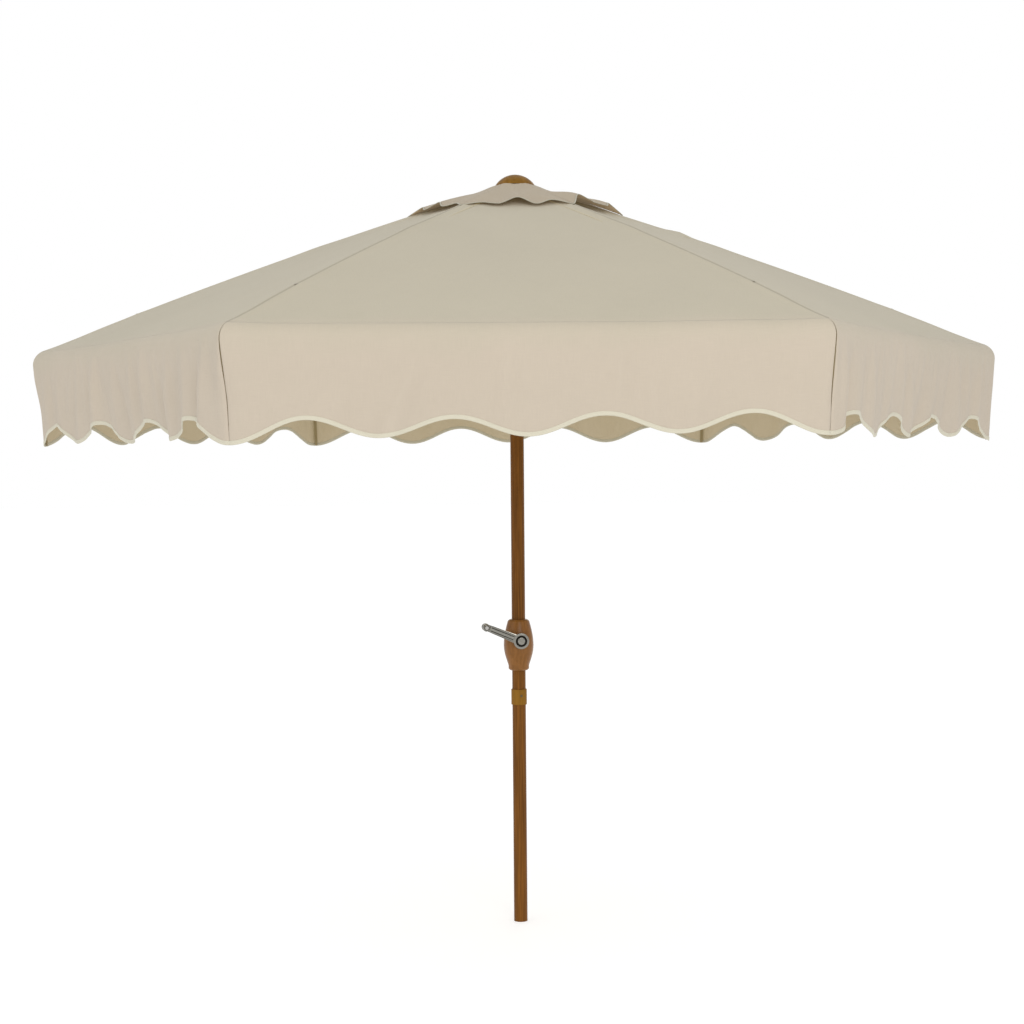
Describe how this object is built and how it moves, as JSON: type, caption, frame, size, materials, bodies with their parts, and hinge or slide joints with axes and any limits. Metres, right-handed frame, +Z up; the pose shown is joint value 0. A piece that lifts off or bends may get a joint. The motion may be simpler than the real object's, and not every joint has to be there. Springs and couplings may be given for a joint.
{
  "type": "garden parasol",
  "caption": "Crank-lift garden parasol with a six-sided fabric canopy, vent flap and scalloped valance on a wood-look pole; folds down along the pole.",
  "frame": {"origin": "centre of the pole's foot", "axes": "+Z up the pole; -Y towards the front canopy panel and the crank; +X towards one corner of the canopy"},
  "size_m": [2.6992, 2.3382, 2.1035],
  "materials": {
    "pole": "satin wood-look foil",
    "black_plastic": "matte",
    "steel": "bright",
    "collar": "satin",
    "dark_steel": "blackened",
    "housing": "wood-look, semi-gloss",
    "finial": "wood-look, semi-gloss",
    "cord": "braided",
    "zinc": "chromed die casting",
    "drum": "matte",
    "knob": "metallised",
    "frame_steel": "powder-coated",
    "canopy_fabric": "plain weave",
    "vent_fabric": "plain weave",
    "valance_fabric": "plain weave with cream binding"
  },
  "bodies": {
    "root": {"lower_pole": "pole", "foot_plug": "black_plastic", "joint_ferrule": "steel", "joint_collar": "collar", "collar_screw": "dark_steel", "upper_pole": "pole", "housing_front": "housing", "housing_rear": "housing", "housing_screws": "dark_steel", "axle_bushes": "black_plastic", "brake_spring": "steel", "top_hub": "black_plastic", "hub_pins": "steel", "pulley_pin": "steel", "finial": "finial", "lift_cord": "cord"},
    "crank": {"crank_lever": "zinc", "cord_drum": "drum", "crank_screw": "zinc", "knob_pin": "steel"},
    "knob": {"crank_knob": "knob"},
    "pulley": {"cord_pulley": "black_plastic"},
    "runner": {"runner": "black_plastic", "runner_pins": "steel"},
    "rib_1": {"rib_1": "frame_steel", "rib_fittings_1": "frame_steel"},
    "stretcher_1": {"stretcher_1": "frame_steel"},
    "panel_1": {"roof_panel_1": "canopy_fabric", "vent_panel_1": "vent_fabric"},
    "valance_1": {"valance_1": "valance_fabric"},
    "rib_2": {"rib_2": "frame_steel", "rib_fittings_2": "frame_steel"},
    "stretcher_2": {"stretcher_2": "frame_steel"},
    "panel_2": {"roof_panel_2": "canopy_fabric", "vent_panel_2": "vent_fabric"},
    "valance_2": {"valance_2": "valance_fabric"},
    "rib_3": {"rib_3": "frame_steel", "rib_fittings_3": "frame_steel"},
    "stretcher_3": {"stretcher_3": "frame_steel"},
    "panel_3": {"roof_panel_3": "canopy_fabric", "vent_panel_3": "vent_fabric"},
    "valance_3": {"valance_3": "valance_fabric"},
    "rib_4": {"rib_4": "frame_steel", "rib_fittings_4": "frame_steel"},
    "stretcher_4": {"stretcher_4": "frame_steel"},
    "panel_4": {"roof_panel_4": "canopy_fabric", "vent_panel_4": "vent_fabric"},
    "valance_4": {"valance_4": "valance_fabric"},
    "rib_5": {"rib_5": "frame_steel", "rib_fittings_5": "frame_steel"},
    "stretcher_5": {"stretcher_5": "frame_steel"},
    "panel_5": {"roof_panel_5": "canopy_fabric", "vent_panel_5": "vent_fabric"},
    "valance_5": {"valance_5": "valance_fabric"},
    "rib_6": {"rib_6": "frame_steel", "rib_fittings_6": "frame_steel"},
    "stretcher_6": {"stretcher_6": "frame_steel"},
    "panel_6": {"roof_panel_6": "canopy_fabric", "vent_panel_6": "vent_fabric"},
    "valance_6": {"valance_6": "valance_fabric"}
  },
  "joints": [
    {"name": "canopy_fold", "type": "hinge", "parent": "root", "child": "rib_1", "pos_m": [0.035, 0, 2.05645], "axis": [0, 1, 0], "range_deg": [0, 66], "deforming": ["roof_panel_1", "vent_panel_1", "valance_1", "roof_panel_2", "vent_panel_2", "valance_2", "roof_panel_3", "vent_panel_3", "valance_3", "roof_panel_4", "vent_panel_4", "valance_4", "roof_panel_5", "vent_panel_5", "valance_5", "roof_panel_6", "vent_panel_6", "valance_6", "lift_cord"]},
    {"name": "rib_2_fold", "type": "hinge", "parent": "root", "child": "rib_2", "pos_m": [0.0175, 0.03031, 2.05645], "axis": [-0.866, 0.5, 0], "range_deg": [0, 66]},
    {"name": "rib_3_fold", "type": "hinge", "parent": "root", "child": "rib_3", "pos_m": [-0.0175, 0.03031, 2.05645], "axis": [-0.866, -0.5, 0], "range_deg": [0, 66]},
    {"name": "rib_4_fold", "type": "hinge", "parent": "root", "child": "rib_4", "pos_m": [-0.035, 0, 2.05645], "axis": [0, -1, 0], "range_deg": [0, 66]},
    {"name": "rib_5_fold", "type": "hinge", "parent": "root", "child": "rib_5", "pos_m": [-0.0175, -0.03031, 2.05645], "axis": [0.866, -0.5, 0], "range_deg": [0, 66]},
    {"name": "rib_6_fold", "type": "hinge", "parent": "root", "child": "rib_6", "pos_m": [0.0175, -0.03031, 2.05645], "axis": [0.866, 0.5, 0], "range_deg": [0, 66]},
    {"name": "stretcher_1_pivot", "type": "hinge", "parent": "rib_1", "child": "stretcher_1", "pos_m": [0.56, 0, 1.8653], "axis": [0, 1, 0], "range_deg": [-132, 0]},
    {"name": "stretcher_2_pivot", "type": "hinge", "parent": "rib_2", "child": "stretcher_2", "pos_m": [0.28, 0.48497, 1.8653], "axis": [-0.866, 0.5, 0], "range_deg": [-132, 0]},
    {"name": "stretcher_3_pivot", "type": "hinge", "parent": "rib_3", "child": "stretcher_3", "pos_m": [-0.28, 0.48497, 1.8653], "axis": [-0.866, -0.5, 0], "range_deg": [-132, 0]},
    {"name": "stretcher_4_pivot", "type": "hinge", "parent": "rib_4", "child": "stretcher_4", "pos_m": [-0.56, 0, 1.8653], "axis": [0, -1, 0], "range_deg": [-132, 0]},
    {"name": "stretcher_5_pivot", "type": "hinge", "parent": "rib_5", "child": "stretcher_5", "pos_m": [-0.28, -0.48497, 1.8653], "axis": [0.866, -0.5, 0], "range_deg": [-132, 0]},
    {"name": "stretcher_6_pivot", "type": "hinge", "parent": "rib_6", "child": "stretcher_6", "pos_m": [0.28, -0.48497, 1.8653], "axis": [0.866, 0.5, 0], "range_deg": [-132, 0]},
    {"name": "runner_pivot", "type": "hinge", "parent": "stretcher_1", "child": "runner", "pos_m": [0.035, 0, 1.67414], "axis": [0, 1, 0], "range_deg": [0, 66]},
    {"name": "panel_1_fold", "type": "hinge", "parent": "root", "child": "panel_1", "pos_m": [0.02598, 0.015, 2.07], "axis": [-0.5, 0.866, 0], "range_deg": [0, 62.3]},
    {"name": "valance_1_hang", "type": "hinge", "parent": "panel_1", "child": "valance_1", "pos_m": [0.97786, 0.56457, 1.58141], "axis": [-0.5, 0.866, 0], "range_deg": [-62.3, 0]},
    {"name": "panel_2_fold", "type": "hinge", "parent": "root", "child": "panel_2", "pos_m": [0, 0.03, 2.07], "axis": [-1, 0, 0], "range_deg": [0, 62.3]},
    {"name": "valance_2_hang", "type": "hinge", "parent": "panel_2", "child": "valance_2", "pos_m": [0, 1.12913, 1.58141], "axis": [-1, 0, 0], "range_deg": [-62.3, 0]},
    {"name": "panel_3_fold", "type": "hinge", "parent": "root", "child": "panel_3", "pos_m": [-0.02598, 0.015, 2.07], "axis": [-0.5, -0.866, 0], "range_deg": [0, 62.3]},
    {"name": "valance_3_hang", "type": "hinge", "parent": "panel_3", "child": "valance_3", "pos_m": [-0.97786, 0.56457, 1.58141], "axis": [-0.5, -0.866, 0], "range_deg": [-62.3, 0]},
    {"name": "panel_4_fold", "type": "hinge", "parent": "root", "child": "panel_4", "pos_m": [-0.02598, -0.015, 2.07], "axis": [0.5, -0.866, 0], "range_deg": [0, 62.3]},
    {"name": "valance_4_hang", "type": "hinge", "parent": "panel_4", "child": "valance_4", "pos_m": [-0.97786, -0.56457, 1.58141], "axis": [0.5, -0.866, 0], "range_deg": [-62.3, 0]},
    {"name": "panel_5_fold", "type": "hinge", "parent": "root", "child": "panel_5", "pos_m": [0, -0.03, 2.07], "axis": [1, 0, 0], "range_deg": [0, 62.3]},
    {"name": "valance_5_hang", "type": "hinge", "parent": "panel_5", "child": "valance_5", "pos_m": [0, -1.12913, 1.58141], "axis": [1, 0, 0], "range_deg": [-62.3, 0]},
    {"name": "panel_6_fold", "type": "hinge", "parent": "root", "child": "panel_6", "pos_m": [0.02598, -0.015, 2.07], "axis": [0.5, 0.866, 0], "range_deg": [0, 62.3]},
    {"name": "valance_6_hang", "type": "hinge", "parent": "panel_6", "child": "valance_6", "pos_m": [0.97786, -0.56457, 1.58141], "axis": [0.5, 0.866, 0], "range_deg": [-62.3, 0]},
    {"name": "crank_turn", "type": "hinge", "parent": "root", "child": "crank", "pos_m": [0, 0, 0.7995], "axis": [0.1219, -0.9925, 0], "continuous": true},
    {"name": "knob_spin", "type": "hinge", "parent": "crank", "child": "knob", "pos_m": [-0.09264, -0.07182, 0.84121], "axis": [0.1219, -0.9925, 0], "continuous": true},
    {"name": "pulley_spin", "type": "hinge", "parent": "root", "child": "pulley", "pos_m": [0, 0.017, 2.05], "axis": [1, 0, 0], "continuous": true}
  ],
  "couplings": [
    {"joint": "rib_2_fold", "follows": "canopy_fold", "ratio": 1},
    {"joint": "rib_3_fold", "follows": "canopy_fold", "ratio": 1},
    {"joint": "rib_4_fold", "follows": "canopy_fold", "ratio": 1},
    {"joint": "rib_5_fold", "follows": "canopy_fold", "ratio": 1},
    {"joint": "rib_6_fold", "follows": "canopy_fold", "ratio": 1},
    {"joint": "stretcher_1_pivot", "follows": "canopy_fold", "ratio": -2},
    {"joint": "stretcher_2_pivot", "follows": "canopy_fold", "ratio": -2},
    {"joint": "stretcher_3_pivot", "follows": "canopy_fold", "ratio": -2},
    {"joint": "stretcher_4_pivot", "follows": "canopy_fold", "ratio": -2},
    {"joint": "stretcher_5_pivot", "follows": "canopy_fold", "ratio": -2},
    {"joint": "stretcher_6_pivot", "follows": "canopy_fold", "ratio": -2},
    {"joint": "runner_pivot", "follows": "canopy_fold", "ratio": 1},
    {"joint": "panel_1_fold", "follows": "canopy_fold", "ratio": 0.944},
    {"joint": "valance_1_hang", "follows": "canopy_fold", "ratio": -0.944},
    {"joint": "panel_2_fold", "follows": "canopy_fold", "ratio": 0.944},
    {"joint": "valance_2_hang", "follows": "canopy_fold", "ratio": -0.944},
    {"joint": "panel_3_fold", "follows": "canopy_fold", "ratio": 0.944},
    {"joint": "valance_3_hang", "follows": "canopy_fold", "ratio": -0.944},
    {"joint": "panel_4_fold", "follows": "canopy_fold", "ratio": 0.944},
    {"joint": "valance_4_hang", "follows": "canopy_fold", "ratio": -0.944},
    {"joint": "panel_5_fold", "follows": "canopy_fold", "ratio": 0.944},
    {"joint": "valance_5_hang", "follows": "canopy_fold", "ratio": -0.944},
    {"joint": "panel_6_fold", "follows": "canopy_fold", "ratio": 0.944},
    {"joint": "valance_6_hang", "follows": "canopy_fold", "ratio": -0.944},
    {"joint": "crank_turn", "follows": "canopy_fold", "ratio": 54.1},
    {"joint": "pulley_spin", "follows": "canopy_fold", "ratio": -63.6}
  ]
}
